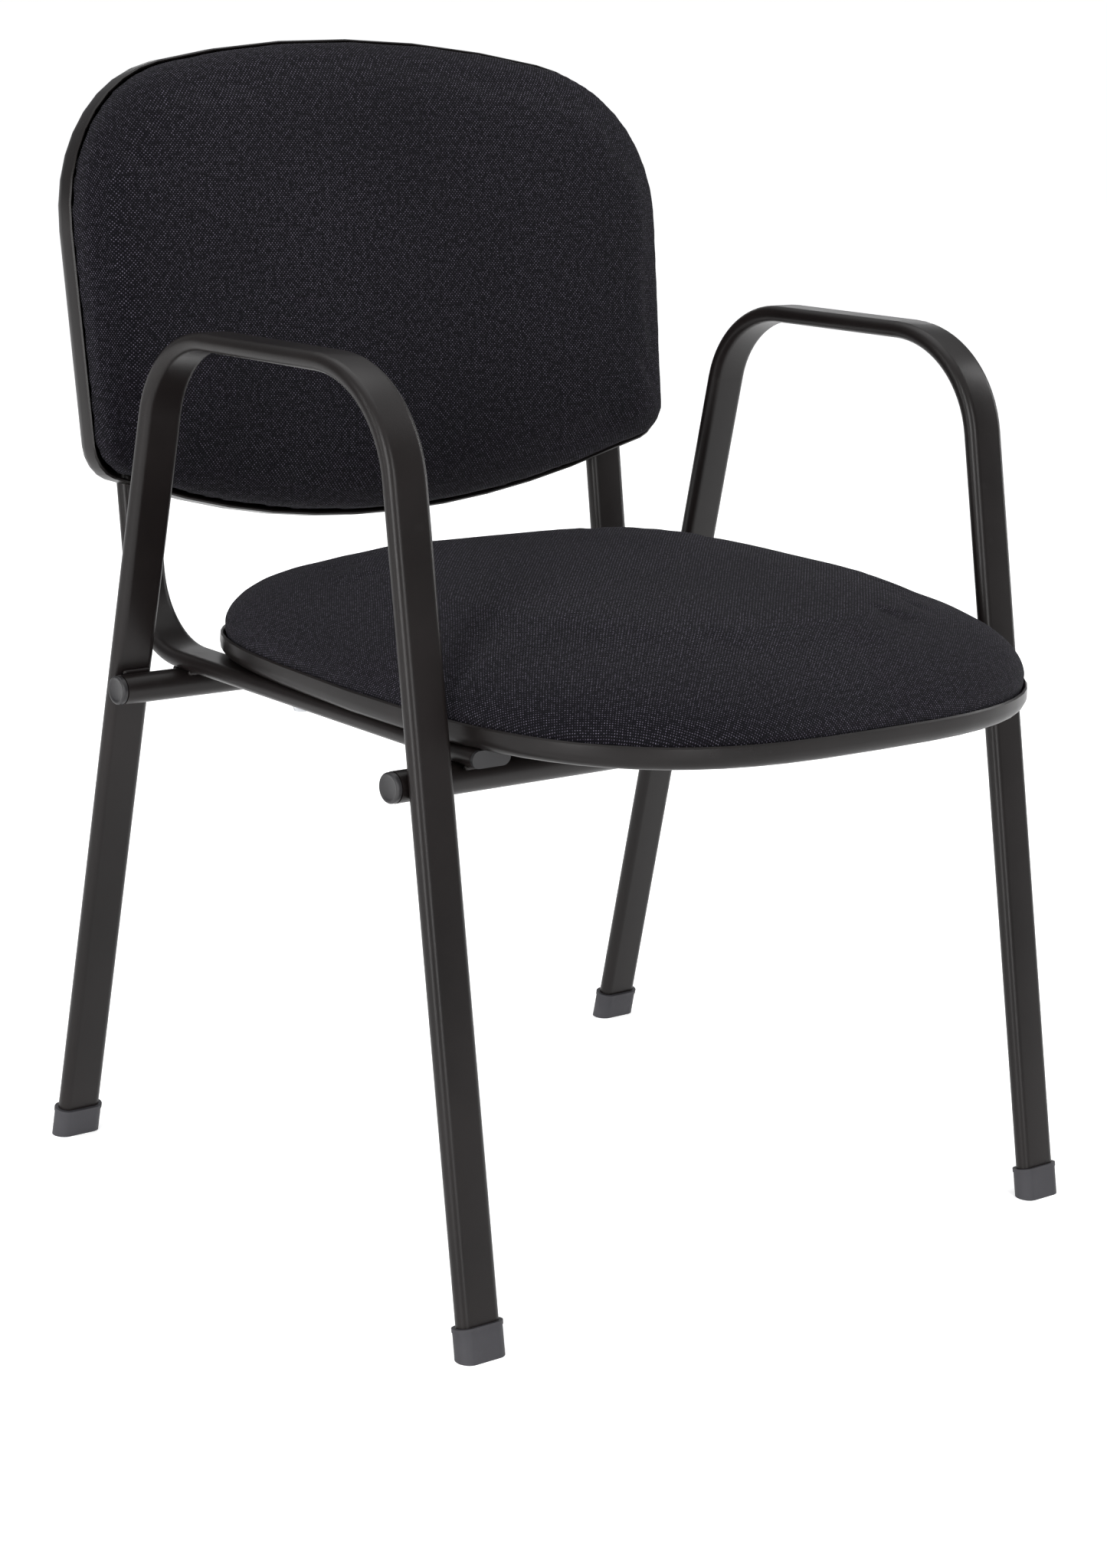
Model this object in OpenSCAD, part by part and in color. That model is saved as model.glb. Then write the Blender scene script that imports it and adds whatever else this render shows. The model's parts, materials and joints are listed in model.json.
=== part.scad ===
// Stacking chair with arms: two side loops of flat-oval steel tube, two round crossbars, two
// rails that lie on the crossbars and bend up behind the seat, a domed seat cushion in a pan,
// and an upholstered back in a moulded shell.
// Millimetres, +Z up, the sitter faces -Y, the origin is on the floor at the middle of the chair.

/* [Side loops] */
// Width over the outer edges of the two side loops
loop_span = 590; // [588:2:620]
// Height of the highest point of the armrest
arm_height = 646; // [640:2:660]
// How far the front feet stand in front of the origin
front_foot = 271; // [266:1:278]
// How far the rear feet stand behind the origin
rear_foot = 228; // [222:1:234]
// Forward lean of the front legs, degrees
front_lean = 12.5; // [11:0.5:14]
// Backward lean of the rear legs, degrees
rear_lean = 8.5; // [7:0.5:10]
// Backward slope of the armrests, degrees
arm_slope = 2.5; // [1:0.5:4]
// Centre-line radius of the front armrest bend
front_bend = 86; // [75:1:95]
// Centre-line radius of the rear armrest bend
rear_bend = 71; // [60:1:80]

/* [Tube] */
// Width of the flat-oval tube
tube_w = 34; // [32:1:36]
// Thickness of the flat-oval tube
tube_t = 13; // [12:0.5:14]
// Wall of every steel tube
wall = 1.5; // [1.2:0.1:2]
// Outer diameter of the round crossbars
bar_d = 22; // [20:1:24]

/* [Rails] */
// Height of the rails' centre line above the origin
rail_height = 390; // [386:1:396]
// Backward slope of the rails and the seat, degrees
seat_slope = 0.8; // [0.4:0.2:2]
// Centre line of each rail from the middle of the chair
rail_x = 232; // [226:1:233]
// Centre-line radius of the bend behind the seat
upright_bend = 66; // [64:1:74]
// Backward lean of the uprights, degrees
upright_lean = 11.5; // [10:0.5:13]

/* [Seat] */
// Width of the seat pan
seat_w = 514; // [512:1:516]
// Depth of the seat pan
seat_d = 522; // [506:2:530]
// Height of the pan's rim
pan_rim = 17; // [14:1:20]
// Height of the cushion's crown above the pan's underside
seat_crown = 79; // [68:1:82]

/* [Back] */
// Width of the back
back_w = 576; // [560:4:584]
// Height of the back from its lower corners
back_h = 330; // [320:2:340]
// Radius of the upper corners
back_corner = 128; // [100:2:140]
// How far the lower edge dips at the middle
back_dip = 42; // [30:2:46]
// Radius of the arc along the upper edge
back_arch = 900; // [700:50:1500]
// Depth of the curve across the back
back_bow = 26; // [16:2:34]
// Depth of the back shell
shell_depth = 26; // [25:0.5:30]
// How far the back cushion stands in front of the shell's lip
back_crown = 38; // [28:1:44]

/* [Hidden] */

steel_black = [0.11, 0.10, 0.10];
plastic_grey = [0.20, 0.20, 0.21];
pan_brown = [0.13, 0.11, 0.10];
fabric_black = [0.06, 0.06, 0.07];
foam_cream = [0.85, 0.80, 0.62];
ply_brown = [0.72, 0.56, 0.38];
zinc = [0.72, 0.73, 0.75];

gap = 0.2;                 // clearance between parts that fit in or on each other
bar_r = bar_d / 2;
seam = 0.03;               // height of the witness mark at each end of a bend
seam_length = 0.6;
reach = tube_t / 2 + bar_r;    // centre of a tube to the centre of a bar lying against its flat
loop_x = (loop_span - tube_w) / 2;

// Side loop: corners where the centre lines of the legs and the armrest would meet
arm_z = arm_height - tube_t / 2;
lean_f = tan(front_lean);
lean_r = tan(rear_lean);
slope_a = tan(arm_slope);
front_corner_z = (arm_z + front_foot * slope_a) / (1 + lean_f * slope_a);
front_corner = [-front_foot + front_corner_z * lean_f, front_corner_z];
rear_corner_z = (arm_z - rear_foot * slope_a) / (1 - lean_r * slope_a);
rear_corner = [rear_foot - rear_corner_z * lean_r, rear_corner_z];
front_turn = 90 + arm_slope - front_lean;
rear_turn = 90 - arm_slope - rear_lean;
front_cut = front_bend * tan(front_turn / 2);
rear_cut = rear_bend * tan(rear_turn / 2);
front_leg = norm(front_corner - [-front_foot, 0]);
rear_leg = norm(rear_corner - [rear_foot, 0]);
arm_run = norm(rear_corner - front_corner);
foot_base = 5;             // rubber under the end of each leg
foot_h = 23;
foot_rubber = 2.4;
foot_lip = 2.8;

// Crossbars: each lies against the flat of a pair of legs and under the rails
slope_s = tan(seat_slope);
under_rail = rail_height - reach / cos(seat_slope);
front_bar_y = (-front_foot + under_rail * lean_f + reach / cos(front_lean)) / (1 + slope_s * lean_f);
rear_bar_y = (rear_foot - under_rail * lean_r - reach / cos(rear_lean)) / (1 - slope_s * lean_r);
front_bar = [front_bar_y, under_rail - front_bar_y * slope_s];
rear_bar = [rear_bar_y, under_rail - rear_bar_y * slope_s];
plug_flange = 4.6;
bar_end = loop_span / 2 + 1;

// Weld beads: a bead of this radius touches both the bar and the flat
bead_r = 2;
bead_out = 2 * sqrt(bar_r * bead_r);

// Rails, measured along the seat from the origin's foot point
rail_front = -191;
rail_rear = 158;
upright_turn = 90 + seat_slope - upright_lean;

// Seat, in a frame whose XY plane is the rails' upper flat
seat_mid = -71;            // middle of the pan along the rails
widest = 0.51;             // the pan is widest at this part of its depth, from the front
pan_wall = 2.5;
board_inset = 9;
board_t = 12;
board_z = pan_wall + gap;
foam_z = board_z + board_t + gap;
cover_t = 1.2;
cushion_edge = 9;          // height of the cushion's upright edge above the board
cover_foot = 6;            // inset of the cover's hem
cover_edge = 3.6;          // inset of the cover where it leaves the pan
seat_half = seat_w / 2;
front_half = seat_d * widest;
rear_half = seat_d * (1 - widest);
widest_y = seat_mid - seat_d * (0.5 - widest);
seat_points = 64;
bolt_front = -145;
bolt_rear = 21;
bolt_d = 6;
bolt_head = 4;
bolt_head_d = 12.5;
bolt_head_top_d = 10;
washer_t = 1.4;
washer_d = 16;
nut_d = 8.4;
nut_sunk = 0.3;            // the back's insert nuts stand this far clear of the board
nut_flange = 13;
nut_bore = nut_d + 2 * gap;
pocket_d = nut_flange + 2;

// Back, in a frame whose XZ plane is the shell's lip and whose Y axis points backwards
back_half = back_w / 2;
back_mid = back_h / 2;
lower_corner = 26;
back_wall = 2.5;
back_board_t = 9;
back_board_inset = 7;
back_board_rear = 2;       // rear face of the back board behind the shell's lip
foam_rear = back_board_rear - back_board_t - gap;
back_low = 69;             // from the end of the rails' bend up to the back's lower corners
lower_width = 0.97;        // width of the back's lower edge as a share of its upper part
shell_curl = 15;
back_hem = 3;              // depth of the back cover's hem inside the shell
back_foot = 3.4;           // inset of the back cover's hem
back_inner_x = rail_x - tube_w / 2;
upright_in_back = back_board_rear + bow(back_inner_x) + 2 * gap + tube_t / 2;
upright_run = 290;
screw_low = 60;            // height of the lower screws above the back's lower corners
screw_high = 200;
screw_seat = shell_depth + bow(rail_x) + 2.4;
screw_tip = bow(rail_x) + foam_rear;

// ---------------------------------------------------------------- shared shapes

module flat_oval(w, t) {
    square([w - t, t], center = true);
    for (side = [-1, 1]) translate([side * (w - t) / 2, 0]) circle(d = t, $fn = 48);
}

module tube_section(proud = 0) {
    difference() {
        flat_oval(tube_w + 2 * proud, tube_t + 2 * proud);
        flat_oval(tube_w - 2 * wall - 2 * proud, tube_t - 2 * wall - 2 * proud);
    }
}

module witness_mark() {
    translate([0, 0, -seam_length / 2]) linear_extrude(seam_length) tube_section(seam);
}

// Tube that starts along +Z; each step is [straight length, turn towards +Y, radius of the turn]
module tube_run(steps, i = 0) {
    length = steps[i][0];
    turn = steps[i][1];
    radius = steps[i][2];
    linear_extrude(length) tube_section();
    if (turn > 0) {
        translate([0, radius, length]) rotate([90, 0, -90])
            rotate_extrude(angle = turn, $fn = 96) translate([radius, 0]) rotate(90) tube_section();
        translate([0, radius * (1 - cos(turn)), length + radius * sin(turn)]) rotate([-turn, 0, 0]) {
            witness_mark();
            tube_run(steps, i + 1);
        }
    }
}

// Points of an arc about [x, y]
function arc(x, y, r, from, to, count) =
    [for (i = [0:count]) let (a = from + (to - from) * i / count) [x + r * cos(a), y + r * sin(a)]];

// Closed solid through rings of equally many points, with flat ends
module skin(rings) {
    count = len(rings[0]);
    last = len(rings) - 1;
    polyhedron(
        points = [for (ring = rings) each ring],
        faces = [
            [for (i = [0:count - 1]) i],
            for (k = [0:last - 1], i = [0:count - 1]) each [
                [k * count + i, (k + 1) * count + i, (k + 1) * count + (i + 1) % count],
                [k * count + i, (k + 1) * count + (i + 1) % count, k * count + (i + 1) % count],
            ],
            [for (i = [count - 1:-1:0]) last * count + i],
        ],
        convexity = 6
    );
}

// Power that keeps the sign of its base
function bulge(v, n) = sign(v) * pow(abs(v), n);

// ---------------------------------------------------------------- side loops and feet

module side_loop(side) {
    color(steel_black) translate([side * loop_x, -front_foot, 0]) rotate([-front_lean, 0, 0])
        translate([0, 0, foot_base]) tube_run([
            [front_leg - front_cut - foot_base, front_turn, front_bend],
            [arm_run - front_cut - rear_cut, rear_turn, rear_bend],
            [rear_leg - rear_cut - foot_base, 0, 0],
        ]);
}

module left_side_loop() side_loop(1);
module right_side_loop() side_loop(-1);

module foot(side, y, lean) {
    color(plastic_grey) intersection() {
        translate([side * loop_x, y, 0]) rotate([lean, 0, 0]) difference() {
            union() {
                translate([0, 0, -foot_h / 2]) linear_extrude(foot_h * 1.5)
                    flat_oval(tube_w + 2 * foot_rubber, tube_t + 2 * foot_rubber);
                translate([0, 0, foot_h - foot_lip]) linear_extrude(foot_lip)
                    flat_oval(tube_w + 2 * foot_rubber + 1, tube_t + 2 * foot_rubber + 1);
            }
            translate([0, 0, foot_base - gap]) linear_extrude(foot_h)
                flat_oval(tube_w + gap, tube_t + gap);
        }
        translate([side * loop_x - tube_w, y - tube_w, 0]) cube([2 * tube_w, 2 * tube_w, 2 * foot_h]);
    }
}

module foot_front_left() foot(1, -front_foot, -front_lean);
module foot_front_right() foot(-1, -front_foot, -front_lean);
module foot_rear_left() foot(1, rear_foot, rear_lean);
module foot_rear_right() foot(-1, rear_foot, rear_lean);

// ---------------------------------------------------------------- crossbars and their plugs

module crossbar(at) {
    color(steel_black) translate([0, at[0], at[1]]) rotate([0, 90, 0]) difference() {
        cylinder(r = bar_r, h = 2 * bar_end, center = true, $fn = 64);
        cylinder(r = bar_r - wall, h = 2 * bar_end + 2, center = true, $fn = 64);
    }
}

module front_crossbar() crossbar(front_bar);
module rear_crossbar() crossbar(rear_bar);

// Plug: a stem in the tube, a narrow neck, and a round-edged flange with a dished face
module bar_plug(side, at) {
    stem_r = bar_r - wall - gap;
    stem = 12;
    flange_r = bar_r - 0.3;
    neck = 0.8;
    edge = 1.6;
    rim = 2.2;
    dish = 0.8;
    color(plastic_grey) translate([side * bar_end, at[0], at[1]]) rotate([0, side * 90, 0])
        rotate_extrude($fn = 64) polygon(concat(
            [[0, -stem], [stem_r - 1, -stem], [stem_r, 1 - stem], [stem_r, 0], [flange_r - 1, 0]],
            [[flange_r - 1, neck], [flange_r, neck]],
            arc(flange_r - edge, plug_flange - edge, edge, 0, 90, 4),
            [[flange_r - rim - edge, plug_flange - dish], [0, plug_flange - dish]]
        ));
}

module plug_front_left() bar_plug(1, front_bar);
module plug_front_right() bar_plug(-1, front_bar);
module plug_rear_left() bar_plug(1, rear_bar);
module plug_rear_right() bar_plug(-1, rear_bar);

// ---------------------------------------------------------------- rails, uprights, tube plugs

module on_rail_line() rotate([-seat_slope, 0, 0]) children();

module rail_place(side) translate([side * rail_x, 0, rail_height]) on_rail_line() children();

module rail(side) {
    hole_d = 6.6;
    color(steel_black) rail_place(side) difference() {
        translate([0, rail_front, 0]) rotate([90, 0, 180]) tube_run([
            [rail_rear - rail_front, upright_turn, upright_bend],
            [upright_run, 0, 0],
        ]);
        for (y = [bolt_front, bolt_rear]) translate([0, y, -tube_t])
            cylinder(d = hole_d, h = 2 * tube_t, $fn = 32);
        in_upright() for (v = [screw_low, screw_high]) translate([0, -tube_t, back_low + v])
            rotate([-90, 0, 0]) cylinder(d = hole_d, h = 2 * tube_t, $fn = 32);
    }
}

// Frame of the straight upright: origin where the bend ends, +Z up along the tube, +Y backwards
module in_upright() {
    translate([0, rail_rear + upright_bend * sin(upright_turn), upright_bend * (1 - cos(upright_turn))])
        rotate([upright_turn - 90, 0, 0]) children();
}

module left_rail() rail(1);
module right_rail() rail(-1);

module oval_plug() {
    cap = 2.5;
    stem = 10;
    color(plastic_grey) {
        linear_extrude(cap) flat_oval(tube_w - 0.6, tube_t - 0.6);
        translate([0, 0, -stem]) linear_extrude(stem)
            flat_oval(tube_w - 2 * wall - 2 * gap, tube_t - 2 * wall - 2 * gap);
    }
}

module rail_plug(side) rail_place(side) translate([0, rail_front, 0]) rotate([90, 0, 0]) oval_plug();
module rail_plug_left() rail_plug(1);
module rail_plug_right() rail_plug(-1);

module upright_plug(side) rail_place(side) in_upright() translate([0, 0, upright_run]) oval_plug();
module upright_plug_left() upright_plug(1);
module upright_plug_right() upright_plug(-1);

// ---------------------------------------------------------------- weld beads

module bead(length) {
    rotate([0, 90, 0]) cylinder(r = bead_r, h = length, center = true, $fn = 24);
    for (end = [-1, 1]) translate([end * length / 2, 0, 0]) sphere(r = bead_r, $fn = 24);
}

// Two beads in the grooves beside the line where a bar touches a flat that faces +Z
module bead_pair() {
    for (groove = [-1, 1]) translate([0, groove * bead_out, bead_r]) bead(tube_w - tube_t - 2);
}

module weld_beads() {
    color(steel_black) for (side = [-1, 1]) {
        translate([side * loop_x, front_bar[0], front_bar[1]]) rotate([90 - front_lean, 0, 0])
            translate([0, 0, bar_r]) mirror([0, 0, 1]) bead_pair();
        translate([side * loop_x, rear_bar[0], rear_bar[1]]) rotate([rear_lean - 90, 0, 0])
            translate([0, 0, bar_r]) mirror([0, 0, 1]) bead_pair();
        for (bar = [front_bar, rear_bar]) translate([side * rail_x, bar[0], bar[1]])
            on_rail_line() translate([0, 0, bar_r]) mirror([0, 0, 1]) bead_pair();
    }
}

// ---------------------------------------------------------------- seat

module on_seat() translate([0, 0, rail_height]) on_rail_line() translate([0, 0, tube_t / 2]) children();

// Plan of the seat: a broad round front, straighter sides that draw in to a squarer rear
function seat_plan() = [for (i = [0:seat_points - 1])
    let (
        a = 360 * i / seat_points,
        n = sin(a) < 0 ? 3 : 4.4,
        y = bulge(sin(a), 2 / n),
        draw_in = 1 - 0.055 * max(0, y)
    ) [bulge(cos(a), 2 / n) * draw_in, y]];

// Rings of the seat's outline through a profile of [inset, height, share of the outline]
function seat_rings(profile) = [for (f = profile) [for (p = seat_plan()) [
    p[0] * (seat_half - f[0]) * f[2],
    widest_y + p[1] * ((p[1] < 0 ? front_half : rear_half) - f[0]) * f[2],
    f[1]]]];

// Crown of a cushion: from its upright edge to near its middle
function crown(inset, base, rise, steps) = [for (k = [0:steps])
    let (part = pow(cos(86 * k / steps), 0.6))
    [inset, base + rise * sqrt(1 - pow(part, 3.4)), part]];

function reversed(list) = [for (i = [len(list) - 1:-1:0]) list[i]];

module seat_pan() {
    curl = 8;
    low = pan_rim * 0.55;
    color(pan_brown) difference() {
        skin(seat_rings(concat(
            [for (a = [0:18:90]) [curl * (1 - sin(a)), low * (1 - cos(a)), 1]],
            [[0.3, pan_rim - 1.2, 1], [1.4, pan_rim, 1], [pan_wall, pan_rim - 0.8, 1]],
            [for (a = [90:-30:0]) [pan_wall + curl * (1 - sin(a)), pan_wall + low * (1 - cos(a)), 1]]
        )));
        seat_holes(7);
    }
}

module seat_holes(d) {
    for (x = [-rail_x, rail_x], y = [bolt_front, bolt_rear]) translate([x, y, -1])
        cylinder(d = d, h = 30, $fn = 32);
}

module seat_board() {
    color(ply_brown) difference() {
        skin(seat_rings([[board_inset, board_z, 1], [board_inset, board_z + board_t, 1]]));
        seat_holes(nut_bore);
    }
}

// Outer surface of the seat cover or, drawn in by under, of what lies under it
function seat_dome(under) = concat(
    [[cover_foot + under, foam_z, 1]],
    crown(cover_edge + under, foam_z + cushion_edge, seat_crown - foam_z - cushion_edge - under, 9)
);

module seat_foam() {
    color(foam_cream) difference() {
        skin(seat_rings(seat_dome(cover_t + gap)));
        for (x = [-rail_x, rail_x], y = [bolt_front, bolt_rear]) translate([x, y, 0])
            cylinder(d = pocket_d, h = foam_z + 2.4, $fn = 32);
    }
}

module seat_cover() {
    color(fabric_black) skin(seat_rings(concat(reversed(seat_dome(cover_t)), seat_dome(0))));
}

module seat_bolts() {
    color(zinc) on_seat() for (x = [-rail_x, rail_x], y = [bolt_front, bolt_rear]) translate([x, y, 0]) {
        translate([0, 0, -tube_t - washer_t]) {
            cylinder(d = bolt_d, h = tube_t + washer_t + foam_z, $fn = 32);
            translate([0, 0, -bolt_head]) cylinder(d1 = bolt_head_top_d, d2 = bolt_head_d, h = bolt_head, $fn = 32);
        }
    }
}

module seat_washers() {
    color(zinc) on_seat() for (x = [-rail_x, rail_x], y = [bolt_front, bolt_rear])
        translate([x, y, -tube_t - washer_t]) difference() {
            cylinder(d = washer_d, h = washer_t, $fn = 32);
            translate([0, 0, -1]) cylinder(d = 6.4, h = 4, $fn = 32);
        }
}

module seat_insert_nuts() {
    color(zinc) on_seat() for (x = [-rail_x, rail_x], y = [bolt_front, bolt_rear])
        insert_nut(x, y, board_z + board_t);
}

// Insert nut whose flange lies on a board at height z, with its barrel in the board
module insert_nut(x, y, z) {
    translate([x, y, z]) difference() {
        union() {
            cylinder(d = nut_flange, h = 1.5, $fn = 32);
            translate([0, 0, -8]) cylinder(d = nut_d, h = 8, $fn = 32);
        }
        translate([0, 0, -9]) cylinder(d = bolt_d + 0.3, h = 12, $fn = 32);
    }
}

// ---------------------------------------------------------------- back

module on_back() translate([0, 0, rail_height]) on_rail_line() in_upright()
    translate([0, -upright_in_back, back_low]) children();

// How far the back stands behind its side edges at a distance x from the middle
function bow(x) = back_bow * (1 - pow(x / back_half, 2));

// Outline of the back seen from the front, from the right side up and round
function back_plan() = let (
    chord = back_half - lower_corner,
    r = (pow(chord, 2) + pow(back_dip, 2)) / (2 * back_dip),
    half_arc = asin(chord / r),
    corner_x = back_half - back_corner,
    arch = asin(corner_x / (back_arch - back_corner)),
    corner_z = back_h - back_arch + (back_arch - back_corner) * cos(arch)
) concat(
    arc(corner_x, corner_z, back_corner, 0, 90 - arch, 9),
    arc(0, back_h - back_arch, back_arch, 90 - arch * 0.7, 90 + arch * 0.7, 4),
    arc(-corner_x, corner_z, back_corner, 90 + arch, 180, 9),
    arc(lower_corner - back_half, lower_corner, lower_corner, 180, 270 - half_arc, 4),
    arc(0, r - back_dip, r, 270 - half_arc * 0.92, 270 + half_arc * 0.92, 11),
    arc(back_half - lower_corner, lower_corner, lower_corner, 270 + half_arc, 360, 4)
);

// Rings of the back's outline through a profile of [inset, depth, share of the outline]
function back_rings(profile) = [for (f = profile) [for (p = back_plan())
    let (
        x = p[0] * (1 - f[0] / back_half) * f[2] * (lower_width + (1 - lower_width) * p[1] / back_h),
        z = back_mid + (p[1] - back_mid) * (1 - f[0] / back_mid) * f[2]
    ) [x, f[1] + bow(x), z]]];

// Steps that carry a face across the middle of the curved back
function across(inset, depth) = [for (part = [0.12, 0.3, 0.48, 0.66, 0.84]) [inset, depth, part]];

// Holes or studs for the four screws, along the back's Y axis
module at_screws(y) {
    for (x = [-rail_x, rail_x], v = [screw_low, screw_high]) translate([x, y, v])
        rotate([-90, 0, 0]) children();
}

module back_shell() {
    color(pan_brown) difference() {
        union() {
            skin(back_rings(concat(
                across(shell_curl, shell_depth),
                [for (a = [0:15:90]) [shell_curl * (1 - sin(a)), shell_depth - shell_curl * (1 - cos(a)), 1]],
                [[0.3, 1.2, 1], [1.3, 0, 1], [back_wall, 0.8, 1]],
                [for (a = [90:-30:0]) [back_wall + shell_curl * (1 - sin(a)),
                    shell_depth - back_wall - shell_curl * (1 - cos(a)), 1]],
                reversed(across(shell_curl + back_wall, shell_depth - back_wall))
            )));
            at_screws(screw_seat - 5) cylinder(d = 19, h = 5, $fn = 40);
        }
        at_screws(0) cylinder(d = 7, h = 2 * shell_depth, $fn = 32);
        for (side = [-1, 1]) translate([side * rail_x, upright_in_back, -2 * lower_corner])
            linear_extrude(2 * lower_corner + 14) flat_oval(tube_w + 1.2, tube_t + 0.6);
    }
}

module back_board() {
    color(ply_brown) difference() {
        skin(back_rings(concat(
            across(back_board_inset, back_board_rear), [[back_board_inset, back_board_rear, 1]],
            [[back_board_inset, back_board_rear - back_board_t, 1]],
            reversed(across(back_board_inset, back_board_rear - back_board_t))
        )));
        at_screws(-shell_depth) cylinder(d = nut_bore, h = 2 * shell_depth, $fn = 32);
    }
}

// Front surface of the back cover or, drawn in by under, of what lies under it
function back_dome(under) = concat(
    [[back_foot + 1 + under, foam_rear, 1]],
    [for (c = crown(back_foot + under, foam_rear, back_crown + foam_rear - under, 9))
        [c[0], 2 * foam_rear - c[1] - 1.5, c[2]]]
);

module back_foam() {
    color(foam_cream) difference() {
        skin(back_rings(concat(
            across(back_foot + 1 + cover_t + gap, foam_rear), back_dome(cover_t + gap)
        )));
        at_screws(foam_rear - 2.4 + bow(rail_x)) cylinder(d = pocket_d, h = 20, $fn = 32);
    }
}

function back_wrap(under) = concat([[back_foot + 0.6 + under, back_hem, 1]], back_dome(under));

module back_cover() {
    color(fabric_black) skin(back_rings(concat(reversed(back_wrap(cover_t)), back_wrap(0))));
}

module back_screws() {
    color(zinc) on_back() {
        at_screws(screw_tip) cylinder(d = bolt_d, h = screw_seat + washer_t - screw_tip, $fn = 32);
        at_screws(screw_seat + washer_t) cylinder(d1 = bolt_head_d, d2 = bolt_head_top_d, h = bolt_head, $fn = 32);
    }
}

module back_washers() {
    color(zinc) on_back() at_screws(screw_seat) difference() {
        cylinder(d = washer_d, h = washer_t, $fn = 32);
        translate([0, 0, -1]) cylinder(d = 6.4, h = 4, $fn = 32);
    }
}

module back_insert_nuts() {
    depth = back_board_rear - back_board_t + bow(rail_x) - nut_sunk;
    color(zinc) on_back() at_screws(depth) mirror([0, 0, 1]) insert_nut(0, 0, 0);
}

left_side_loop();
right_side_loop();
front_crossbar();
rear_crossbar();
left_rail();
right_rail();
weld_beads();
plug_front_left();
plug_front_right();
plug_rear_left();
plug_rear_right();
foot_front_left();
foot_front_right();
foot_rear_left();
foot_rear_right();
rail_plug_left();
rail_plug_right();
upright_plug_left();
upright_plug_right();
on_seat() seat_pan();
on_seat() seat_board();
on_seat() seat_foam();
on_seat() seat_cover();
seat_bolts();
seat_washers();
seat_insert_nuts();
on_back() back_shell();
on_back() back_board();
on_back() back_foam();
on_back() back_cover();
back_screws();
back_washers();
back_insert_nuts();
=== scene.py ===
"""Stacking armchair: black flat-oval steel side loops, domed fabric seat in a plastic pan, upholstered back.

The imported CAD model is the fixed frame. The two cushions are remeshed from their foam and inflated by cloth
simulation, the rigid parts are welded and shaded smooth, and every surface gets a node material.
"""
import json
import math

import bmesh
import bpy
from mathutils import Matrix, Vector, noise


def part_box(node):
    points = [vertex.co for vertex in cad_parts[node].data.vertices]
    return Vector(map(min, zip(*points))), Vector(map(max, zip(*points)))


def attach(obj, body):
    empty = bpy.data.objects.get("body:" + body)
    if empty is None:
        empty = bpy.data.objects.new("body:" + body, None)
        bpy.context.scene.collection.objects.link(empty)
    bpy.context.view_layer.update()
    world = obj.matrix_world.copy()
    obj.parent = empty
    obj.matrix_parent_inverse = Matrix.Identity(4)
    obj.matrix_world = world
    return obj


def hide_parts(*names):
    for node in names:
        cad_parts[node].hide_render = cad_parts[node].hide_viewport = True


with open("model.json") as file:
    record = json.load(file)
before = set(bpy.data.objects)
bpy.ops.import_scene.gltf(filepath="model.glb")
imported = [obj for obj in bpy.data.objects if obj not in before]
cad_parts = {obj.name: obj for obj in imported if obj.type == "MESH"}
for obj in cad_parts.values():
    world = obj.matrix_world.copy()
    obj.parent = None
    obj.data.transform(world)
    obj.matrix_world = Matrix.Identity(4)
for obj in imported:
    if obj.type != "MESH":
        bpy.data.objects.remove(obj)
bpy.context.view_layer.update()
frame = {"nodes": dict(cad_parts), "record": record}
NODES = frame["nodes"]
SCENE = bpy.context.scene
MM = 0.001

# ---------------------------------------------------------------- camera

AZIMUTH, ELEVATION, ROLL = 41.22, 14.81, 3.52   # degrees; azimuth 0 looks along +Y
DISTANCE = 2.152
AIM = Vector((-0.306, -0.342, 0.420))
FOCAL_SHARE = 2.208                             # focal length over the height of the frame


def add_camera():
    a, e = math.radians(AZIMUTH), math.radians(ELEVATION)
    look = Vector((math.sin(a) * math.cos(e), math.cos(a) * math.cos(e), -math.sin(e)))
    data = bpy.data.cameras.new("camera")
    data.sensor_width = 36
    data.lens = data.sensor_width * FOCAL_SHARE
    data.clip_end = 100
    cam = bpy.data.objects.new("camera", data)
    SCENE.collection.objects.link(cam)
    cam.location = AIM - look * DISTANCE
    cam.rotation_mode = "QUATERNION"
    turn = look.to_track_quat("-Z", "Y").to_matrix() @ Matrix.Rotation(math.radians(ROLL), 3, "Z")
    cam.rotation_quaternion = turn.to_quaternion()
    SCENE.camera = cam


# ---------------------------------------------------------------- materials

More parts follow.
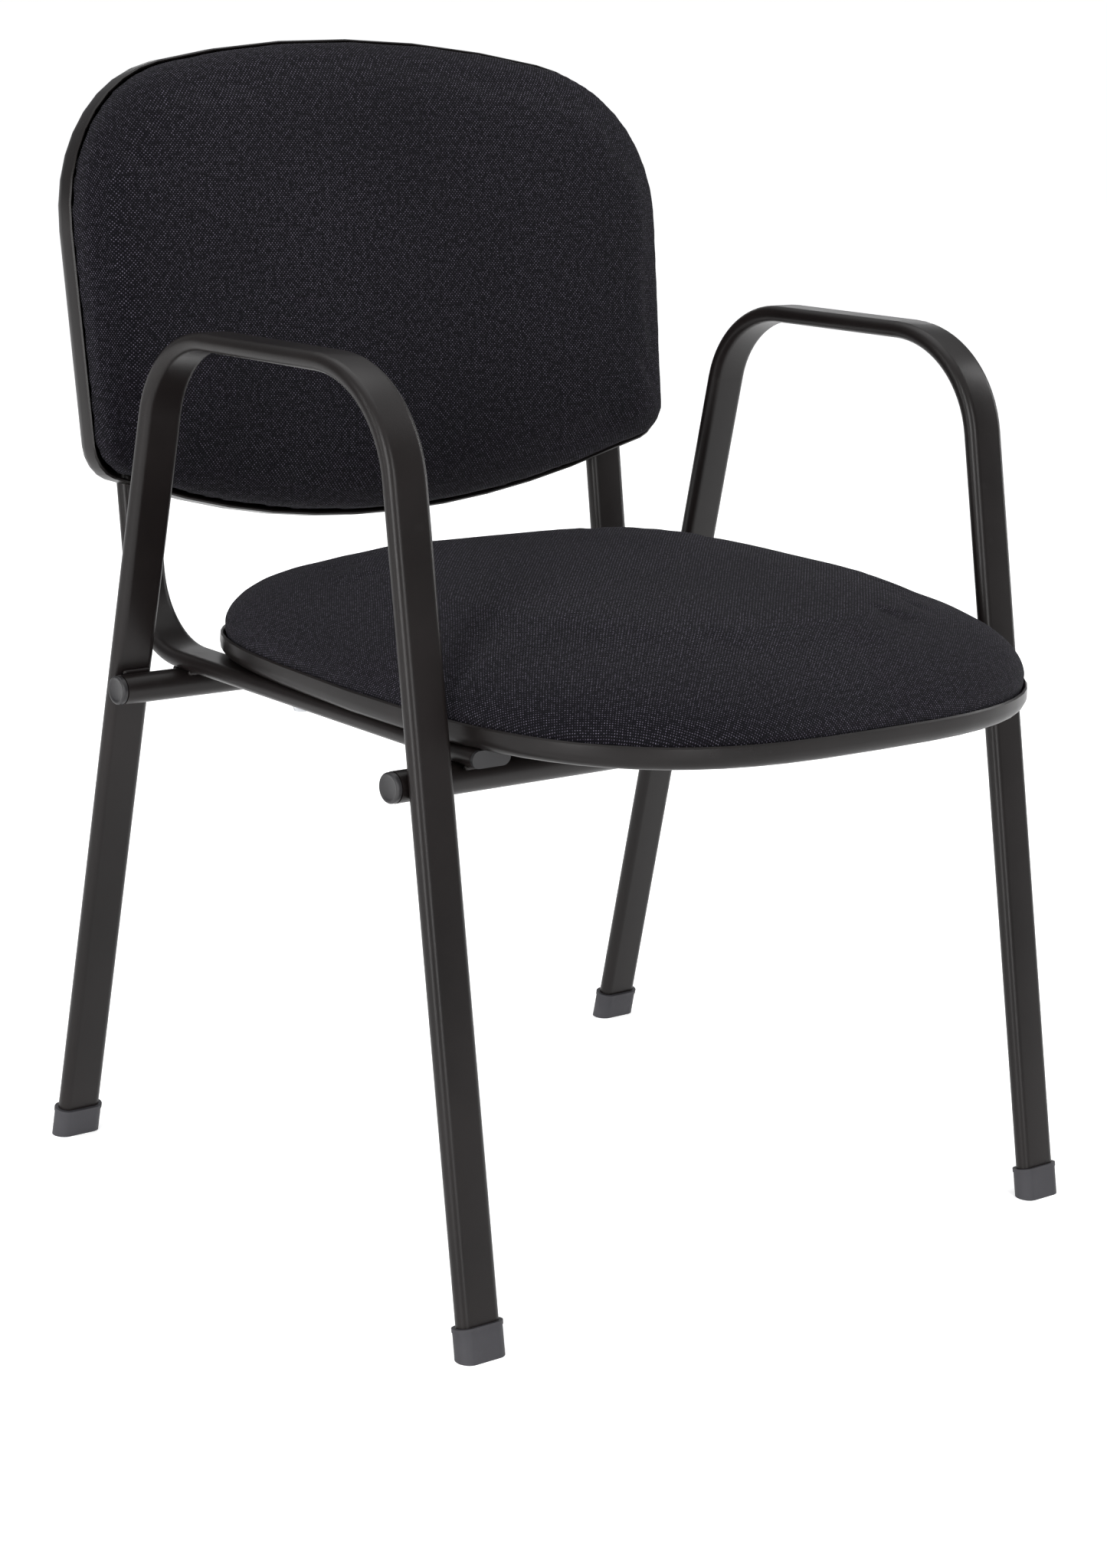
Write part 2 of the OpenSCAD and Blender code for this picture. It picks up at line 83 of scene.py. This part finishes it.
class Nodes:
    """A short way to write a node tree: add(kind, input=value or socket, ...) returns the node."""

    def __init__(self, name):
        self.material = bpy.data.materials.new(name)
        self.material.use_nodes = True
        self.tree = self.material.node_tree
        self.shader = self.tree.nodes["Principled BSDF"]
        self.coord = self.tree.nodes.new("ShaderNodeTexCoord").outputs["Object"]

    def set(self, node, name, value):
        socket = node.inputs[name]
        if isinstance(value, bpy.types.NodeSocket):
            self.tree.links.new(value, socket)
        else:
            socket.default_value = value

    def add(self, kind, settings=None, **inputs):
        node = self.tree.nodes.new("ShaderNode" + kind)
        for key, value in (settings or {}).items():
            setattr(node, key, value)
        for key, value in inputs.items():
            self.set(node, int(key[1:]) if key[1:].isdigit() else key.replace("_", " "), value)
        return node

    def math(self, operation, a, b=0.0, c=0.0):
        return self.add("Math", {"operation": operation}, i0=a, i1=b, i2=c).outputs[0]

    def vector(self, operation, a, b=(0, 0, 0), out="Vector"):
        return self.add("VectorMath", {"operation": operation}, i0=a, i1=b).outputs[out]

    def scaled(self, a, factor):
        node = self.add("VectorMath", {"operation": "SCALE"}, i0=a)
        self.set(node, "Scale", factor)
        return node.outputs[0]

    def noise(self, scale, detail=2.0, roughness=0.5, vector=None):
        return self.add("TexNoise", Vector=vector or self.coord, Scale=scale, Detail=detail,
                        Roughness=roughness).outputs["Fac"]

    def ramp(self, value, *stops):
        node = self.add("ValToRGB", Fac=value)
        elements = node.color_ramp.elements
        while len(elements) < len(stops):
            elements.new(0.5)
        for element, (at, colour) in zip(elements, stops):
            element.position = at
            element.color = (*colour, 1) if len(colour) == 3 else colour
        return node.outputs["Color"]

    def level(self, value, low, high, at_low=0.0, at_high=1.0):
        node = self.add("MapRange", Value=value)
        for key, number in (("From Min", low), ("From Max", high), ("To Min", at_low), ("To Max", at_high)):
            self.set(node, key, number)
        return node.outputs["Result"]

    def finish(self, colour, roughness, height=None, depth=0.0, **fixed):
        self.set(self.shader, "Base Color", colour)
        self.set(self.shader, "Roughness", roughness)
        if height is not None:
            bump = self.add("Bump", Height=height, Strength=1.0, Distance=depth)
            self.set(self.shader, "Normal", bump.outputs["Normal"])
        for key, value in fixed.items():
            self.set(self.shader, key.replace("_", " "), value)
        return self.material


def powder_coat():
    """Satin black powder coat: fine orange peel, faint cloudiness, a few dull scuffs."""
    n = Nodes("powder_coat")
    cloud = n.noise(9, 3)
    peel = n.noise(1500, 1)
    scuff = n.level(n.noise(60, 6, 0.7), 0.62, 0.75)
    colour = n.ramp(cloud, (0.3, (0.0052, 0.0040, 0.0038)), (0.7, (0.0090, 0.0070, 0.0068)))
    rough = n.math("ADD", n.level(cloud, 0.3, 0.7, 0.30, 0.37), n.math("MULTIPLY", scuff, 0.12))
    return n.finish(colour, rough, peel, 0.00006, Specular_IOR_Level=0.24)


def moulded(name, dark, light, rough, grain, depth, specular=0.5):
    """Moulded plastic or rubber: spark-eroded grain, faint cloudiness and rubbed patches."""
    n = Nodes(name)
    cloud = n.noise(14, 3)
    rubbed = n.level(n.noise(45, 5, 0.65), 0.55, 0.75)
    colour = n.ramp(n.math("ADD", cloud, n.math("MULTIPLY", rubbed, 0.2)), (0.35, dark), (0.8, light))
    roughness = n.math("ADD", n.level(cloud, 0.3, 0.7, rough - 0.03, rough + 0.03),
                       n.math("MULTIPLY", rubbed, -0.05))
    return n.finish(colour, roughness, n.noise(grain, 3, 0.6), depth, Specular_IOR_Level=specular)


def zinc():
    """Zinc plate: blueish grey with a fine crystalline mottle."""
    n = Nodes("zinc_plate")
    spangle = n.add("TexVoronoi", Vector=n.coord, Scale=900.0).outputs["Distance"]
    colour = n.ramp(n.noise(160, 3), (0.3, (0.42, 0.43, 0.45)), (0.7, (0.62, 0.63, 0.65)))
    return n.finish(colour, n.level(spangle, 0.0, 0.6, 0.28, 0.42), spangle, 0.00003, Metallic=1.0)


def plywood():
    """Birch plywood: long grain on the faces, dark and pale plies along the edges."""
    n = Nodes("plywood")
    stretched = n.add("Mapping", Vector=n.coord)
    stretched.inputs["Scale"].default_value = (6, 60, 60)
    grain = n.noise(6, 6, 0.6, stretched.outputs[0])
    ply = n.add("TexWave", {"bands_direction": "Z"}, Vector=n.coord, Scale=120.0, Distortion=0.6).outputs["Fac"]
    mixed = n.math("ADD", n.math("MULTIPLY", grain, 0.75), n.math("MULTIPLY", ply, 0.25))
    colour = n.ramp(mixed, (0.25, (0.30, 0.19, 0.10)), (0.75, (0.62, 0.46, 0.29)))
    return n.finish(colour, 0.62, grain, 0.0002)


WEAVE = 1.45 * MM           # half the distance between two dots in one row


def fabric(name, centre, across, outward, bow=0.0, half=1.0, slack=0.0):
    """Near-black basket weave with grey dots, laid over a dome from its middle outwards.

    across and outward give the cloth's level direction and its face. The distance from the middle grows by
    the drop of the dome, so the dots keep their pitch where the cushion turns down to its edge. bow is how
    much further back the middle lies than the sides, half is half the width, and slack is a drop left out.
    """
    n = Nodes(name)
    local = n.vector("SUBTRACT", n.coord, tuple(centre))
    u, v, stands = (n.vector("DOT_PRODUCT", local, tuple(way), "Value")
                    for way in (across, outward.cross(across), outward))
    bowed = n.math("MULTIPLY", n.math("SUBTRACT", 1.0, n.math("POWER", n.math("DIVIDE", u, half), 2.0)), bow)
    drop = n.math("MAXIMUM", n.math("SUBTRACT", -slack, n.math("ADD", stands, bowed)), 0.0)
    radius = n.math("SQRT", n.math("ADD", n.math("MULTIPLY", u, u), n.math("MULTIPLY", v, v)))
    stretch = n.math("ADD", 1.0, n.math("DIVIDE", drop, n.math("MAXIMUM", radius, 0.01)))
    flat = n.add("CombineXYZ", X=n.math("MULTIPLY", u, stretch), Y=n.math("MULTIPLY", v, stretch)).outputs[0]
    wander = n.add("TexNoise", Vector=flat, Scale=55.0, Detail=2.0).outputs["Color"]
    laid = n.vector("ADD", flat, n.scaled(n.vector("SUBTRACT", wander, (0.5, 0.5, 0.5)), 1.1 * MM))
    split = n.add("SeparateXYZ", Vector=laid)
    warp, weft = (n.math("SINE", n.math("MULTIPLY", split.outputs[k], math.pi / WEAVE)) for k in (0, 1))
    knot = n.math("MULTIPLY", warp, weft)
    fibre = n.noise(2600, 2, 0.6, laid)
    worn = n.noise(5, 3)
    dot = n.math("MULTIPLY", n.level(knot, 0.05, 0.95), n.level(fibre, 0.25, 0.7, 0.45, 1.0))
    dot = n.math("MULTIPLY", dot, n.level(worn, 0.3, 0.7, 0.8, 1.1))
    slub = n.level(n.noise(260, 3, 0.7, laid), 0.38, 0.64, 0.35, 1.5)
    dot = n.math("MULTIPLY", dot, slub)
    ground, thread, bright = (0.0028, 0.0025, 0.0038), (0.0060, 0.0053, 0.0084), (0.100, 0.090, 0.118)
    colour = n.ramp(dot, (0.0, ground), (0.3, thread), (0.9, bright))
    height = n.math("ADD", n.math("ABSOLUTE", knot), n.math("MULTIPLY", fibre, 0.35))
    return n.finish(colour, n.level(fibre, 0.3, 0.7, 0.85, 0.96), height, 0.00042, Specular_IOR_Level=0.08,
                    Sheen_Weight=0.035, Sheen_Roughness=0.5, Sheen_Tint=(0.75, 0.74, 0.8, 1))


def studio_floor():
    """Matt pale studio floor with a barely visible mottle."""
    n = Nodes("studio_floor")
    tone = n.noise(3, 2)
    colour = n.ramp(tone, (0.3, (0.90, 0.90, 0.90)), (0.7, (0.93, 0.93, 0.93)))
    n.set(n.shader, "Emission Color", (1, 1, 1, 1))
    return n.finish(colour, 0.8, Specular_IOR_Level=0.0, Emission_Strength=0.40)


def assign(obj, material):
    obj.data.materials.clear()
    obj.data.materials.append(material)


WELD = 0.03 * MM
CREASE = math.radians(34)   # edges sharper than this stay sharp


def smoothing():
    """Geometry nodes that weld a tessellated part and shade it smooth, except over its sharp edges."""
    tree = bpy.data.node_groups.new("smooth_by_angle", "GeometryNodeTree")
    for way in ("INPUT", "OUTPUT"):
        tree.interface.new_socket("Geometry", in_out=way, socket_type="NodeSocketGeometry")
    start, end = tree.nodes.new("NodeGroupInput"), tree.nodes.new("NodeGroupOutput")
    weld = tree.nodes.new("GeometryNodeMergeByDistance")
    weld.inputs["Distance"].default_value = WELD
    plain = tree.nodes.new("GeometryNodeRemoveAttribute")
    plain.inputs["Name"].default_value = "custom_normal"
    soft = tree.nodes.new("GeometryNodeSetShadeSmooth")
    crease = tree.nodes.new("GeometryNodeSetShadeSmooth")
    crease.domain = "EDGE"
    crease.inputs["Shade Smooth"].default_value = False
    angle = tree.nodes.new("GeometryNodeInputMeshEdgeAngle")
    steep = tree.nodes.new("FunctionNodeCompare")
    steep.operation = "GREATER_THAN"
    steep.inputs["B"].default_value = CREASE
    links = tree.links
    links.new(start.outputs[0], plain.inputs["Geometry"])
    links.new(plain.outputs[0], weld.inputs["Geometry"])
    links.new(weld.outputs[0], soft.inputs["Geometry"])
    links.new(soft.outputs[0], crease.inputs["Geometry"])
    links.new(angle.outputs["Unsigned Angle"], steep.inputs["A"])
    links.new(steep.outputs[0], crease.inputs["Selection"])
    links.new(crease.outputs[0], end.inputs[0])
    return tree


# ---------------------------------------------------------------- cushions

SEAT_SLOPE = math.radians(0.8)
BACK_LEAN = math.radians(11.5)
BACK_BOW = 26 * MM          # how much further back the middle of the back lies than its sides
BACK_HALF = 288 * MM
COVER = 1.6 * MM            # cloth and wadding over the crown of the foam
VOXEL = 4 * MM
HELD = 0.12                 # share of the height, from the hem, that stays put as the cushion swells
PRESSURE = 4.0
LAST_FRAME = 20
SWELL = 1.1 * MM            # height of the hollows and swells of a used cushion


def piece_from(name, *nodes):
    """A free copy of some CAD nodes' meshes, joined in a new object."""
    joined = bmesh.new()
    for node in nodes:
        joined.from_mesh(NODES[node].data)
    mesh = bpy.data.meshes.new(name)
    joined.to_mesh(mesh)
    joined.free()
    obj = bpy.data.objects.new(name, mesh)
    SCENE.collection.objects.link(obj)
    return obj


def apply_modifiers(obj):
    bpy.context.view_layer.update()
    mesh = bpy.data.meshes.new_from_object(obj.evaluated_get(bpy.context.evaluated_depsgraph_get()))
    obj.modifiers.clear()
    obj.data = mesh


def inflate(obj, share_of, outward, hem, caps):
    """Remeshes a pad, swells it with pressure as cloth, and caps how far each point may move.

    share_of(point) is the share of the way from the hem to the crown; caps is (at the hem, at the crown).
    hem is how far the rim is let out first, to fill its shell; the side away from outward is drawn in a little.
    """
    remesh = obj.modifiers.new("remesh", "REMESH")
    remesh.mode = "VOXEL"
    remesh.voxel_size = VOXEL
    even = obj.modifiers.new("even", "SMOOTH")
    even.factor = 0.5
    even.iterations = 3
    apply_modifiers(obj)
    shares = [share_of(v.co) for v in obj.data.vertices]
    facing = [n.vector.dot(outward) for n in obj.data.vertex_normals]
    grow(obj, [-1 * MM if turn < -0.8 else hem + (COVER - hem) * min(1, share * 3)
               for turn, share in zip(facing, shares)])
    start = [v.co.copy() for v in obj.data.vertices]
    normals = [n.vector.copy() for n in obj.data.vertex_normals]
    group = obj.vertex_groups.new(name="held")
    group.add([index for index, share in enumerate(shares) if share < HELD], 1.0, "REPLACE")
    cloth = obj.modifiers.new("cloth", "CLOTH")
    cloth.settings.quality = 6
    cloth.settings.use_pressure = True
    cloth.settings.uniform_pressure_force = PRESSURE
    cloth.settings.tension_stiffness = cloth.settings.compression_stiffness = 25
    cloth.settings.shear_stiffness = 15
    cloth.settings.bending_stiffness = 2
    cloth.settings.vertex_group_mass = "held"
    cloth.settings.effector_weights.gravity = 0
    cloth.collision_settings.use_collision = False
    cloth.point_cache.frame_start, cloth.point_cache.frame_end = 1, LAST_FRAME
    for step in range(1, LAST_FRAME + 1):
        SCENE.frame_set(step)
    apply_modifiers(obj)
    for vertex, origin, normal, share in zip(obj.data.vertices, start, normals, shares):
        limit = caps[0] + (caps[1] - caps[0]) * share
        moved = vertex.co - origin
        if moved.dot(normal) < 0:
            vertex.co = origin
        elif moved.length > limit:
            vertex.co = origin + moved.normalized() * limit
    relaxed = obj.modifiers.new("relaxed", "SMOOTH")
    relaxed.factor = 0.5
    relaxed.iterations = 2
    SCENE.frame_set(1)
    finer = obj.modifiers.new("finer", "SUBSURF")
    finer.levels = finer.render_levels = 1
    apply_modifiers(obj)


def dimple(obj, share_of, seed):
    """Slow swells and hollows in the face of a used cushion, faded out at its hem."""
    mesh = obj.data
    shift = Vector((seed, 0, 0))
    moved = []
    places = [v.co.copy() for v in mesh.vertices]
    normals = [n.vector.copy() for n in mesh.vertex_normals]
    for place, normal in zip(places, normals):
        swell = noise.noise(place * 7 + shift) + 0.4 * noise.noise(place * 19)
        moved.extend(place + normal * swell * SWELL * min(1, share_of(place) * 1.6))
    mesh.vertices.foreach_set("co", moved)
    mesh.update()


def grow(obj, distances):
    """Moves every point out along its normal."""
    mesh = obj.data
    places = [v.co.copy() for v in mesh.vertices]
    normals = [n.vector.copy() for n in mesh.vertex_normals]
    mesh.vertices.foreach_set("co", [c for p, n, d in zip(places, normals, distances) for c in p + n * d])
    mesh.update()


def add_cushion(name, foam, board, cover, outward, thickness, hem, caps, seed, bow=0.0, half=1.0, slack=0.0):
    """The board and foam, wrapped and swollen.

    outward is the way the cushion faces, and thickness is how far its crown stands above its hem. hem and caps
    are as for inflate, and bow, half and slack as for the fabric.
    """
    obj = piece_from(name, foam, board)

    def stands(point):
        return point.dot(outward) + bow * (1 - (point.x / half) ** 2)

    top = max(stands(v.co) for v in obj.data.vertices)

    def share_of(point):
        return max(0.0, min(1.0, 1 - (top - stands(point)) / thickness))

    inflate(obj, share_of, outward, hem, caps)
    dimple(obj, share_of, seed)
    for polygon in obj.data.polygons:
        polygon.use_smooth = True
    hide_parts(cover, foam)
    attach(obj, "root")
    low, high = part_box(foam)
    centre = (low + high) / 2
    centre += outward * (top - centre.dot(outward))
    assign(obj, fabric(name + "_cloth", centre, Vector((1, 0, 0)), outward, bow, half, slack))


def add_cushions():
    up = Vector((0, math.sin(SEAT_SLOPE), math.cos(SEAT_SLOPE)))
    add_cushion("seat_cushion", "seat_foam", "seat_board", "seat_cover", up,
                thickness=60 * MM, hem=4 * MM, caps=(1.5 * MM, 6 * MM), seed=3, slack=2 * MM)
    forward = Vector((0, -math.cos(BACK_LEAN), math.sin(BACK_LEAN)))
    add_cushion("back_cushion", "back_foam", "back_board", "back_cover", forward,
                thickness=45 * MM, hem=8.6 * MM, caps=(1.5 * MM, 5 * MM), seed=11, slack=14 * MM,
                bow=BACK_BOW, half=BACK_HALF)


# ---------------------------------------------------------------- CAD nodes

def dress_frame():
    coat = powder_coat()
    plug = moulded("plug_plastic", (0.010, 0.010, 0.011), (0.020, 0.019, 0.020), 0.36, 900, 0.00005, 0.35)
    rubber = moulded("foot_rubber", (0.026, 0.025, 0.029), (0.044, 0.043, 0.048), 0.60, 700, 0.00009, 0.35)
    pan = moulded("pan_plastic", (0.0058, 0.0047, 0.0046), (0.0100, 0.0082, 0.0080), 0.32, 1100, 0.00004, 0.2)
    by_slot = {"tube_black": coat, "grey_plastic": plug, "foot_rubber": rubber, "pan_plastic": pan,
               "plywood": plywood(), "zinc_steel": zinc()}
    tree = smoothing()
    for part in frame["record"]["subparts"]:
        material = by_slot.get(part["material_slot"])
        if material:
            assign(NODES[part["node"]], material)
            NODES[part["node"]].modifiers.new("smooth", "NODES").node_group = tree


# ---------------------------------------------------------------- studio

FLOOR_RADIUS, FLOOR_SIDES = 70, 48
MIDDLE = (0, 0, 0.45)       # every light aims here


def add_floor():
    mesh = bpy.data.meshes.new("floor")
    turns = [math.tau * side / FLOOR_SIDES for side in range(FLOOR_SIDES)]
    ring = [(FLOOR_RADIUS * math.cos(turn), FLOOR_RADIUS * math.sin(turn), 0) for turn in turns]
    mesh.from_pydata(ring, [], [list(range(FLOOR_SIDES))])
    floor = bpy.data.objects.new("floor", mesh)
    SCENE.collection.objects.link(floor)
    assign(floor, studio_floor())


def add_light(name, place, size, watts):
    data = bpy.data.lights.new(name, "AREA")
    data.shape = "RECTANGLE"
    data.size, data.size_y = size
    data.energy = watts
    light = bpy.data.objects.new(name, data)
    SCENE.collection.objects.link(light)
    light.location = place
    light.rotation_mode = "QUATERNION"
    light.rotation_quaternion = (Vector(MIDDLE) - Vector(place)).to_track_quat("-Z", "Y")


def light_studio():
    world = bpy.data.worlds.new("studio")
    SCENE.world = world
    world.use_nodes = True
    background = world.node_tree.nodes["Background"]
    background.inputs["Color"].default_value = (0.97, 0.98, 1.0, 1)
    background.inputs["Strength"].default_value = 0.30
    add_light("edge_left", (-3.0, -1.4, 1.3), (0.8, 2.4), 68)
    add_light("edge_front", (-0.6, -3.1, 1.3), (0.7, 2.4), 42)
    add_light("right", (2.8, -0.6, 1.5), (0.3, 2.4), 24)
    add_light("left", (-3.0, 0.6, 1.5), (0.3, 2.4), 20)
    add_light("top", (0.2, 0.4, 3.2), (2.4, 2.4), 24)
    add_light("rim", (2.4, 2.8, 1.4), (2.4, 0.9), 7)
    sun = bpy.data.lights.new("ceiling", "SUN")
    sun.energy = 1.2
    sun.angle = math.radians(100)
    SCENE.collection.objects.link(bpy.data.objects.new("ceiling", sun))


SCENE.view_settings.view_transform = "Standard"
add_camera()
dress_frame()
add_cushions()
add_floor()
light_studio()
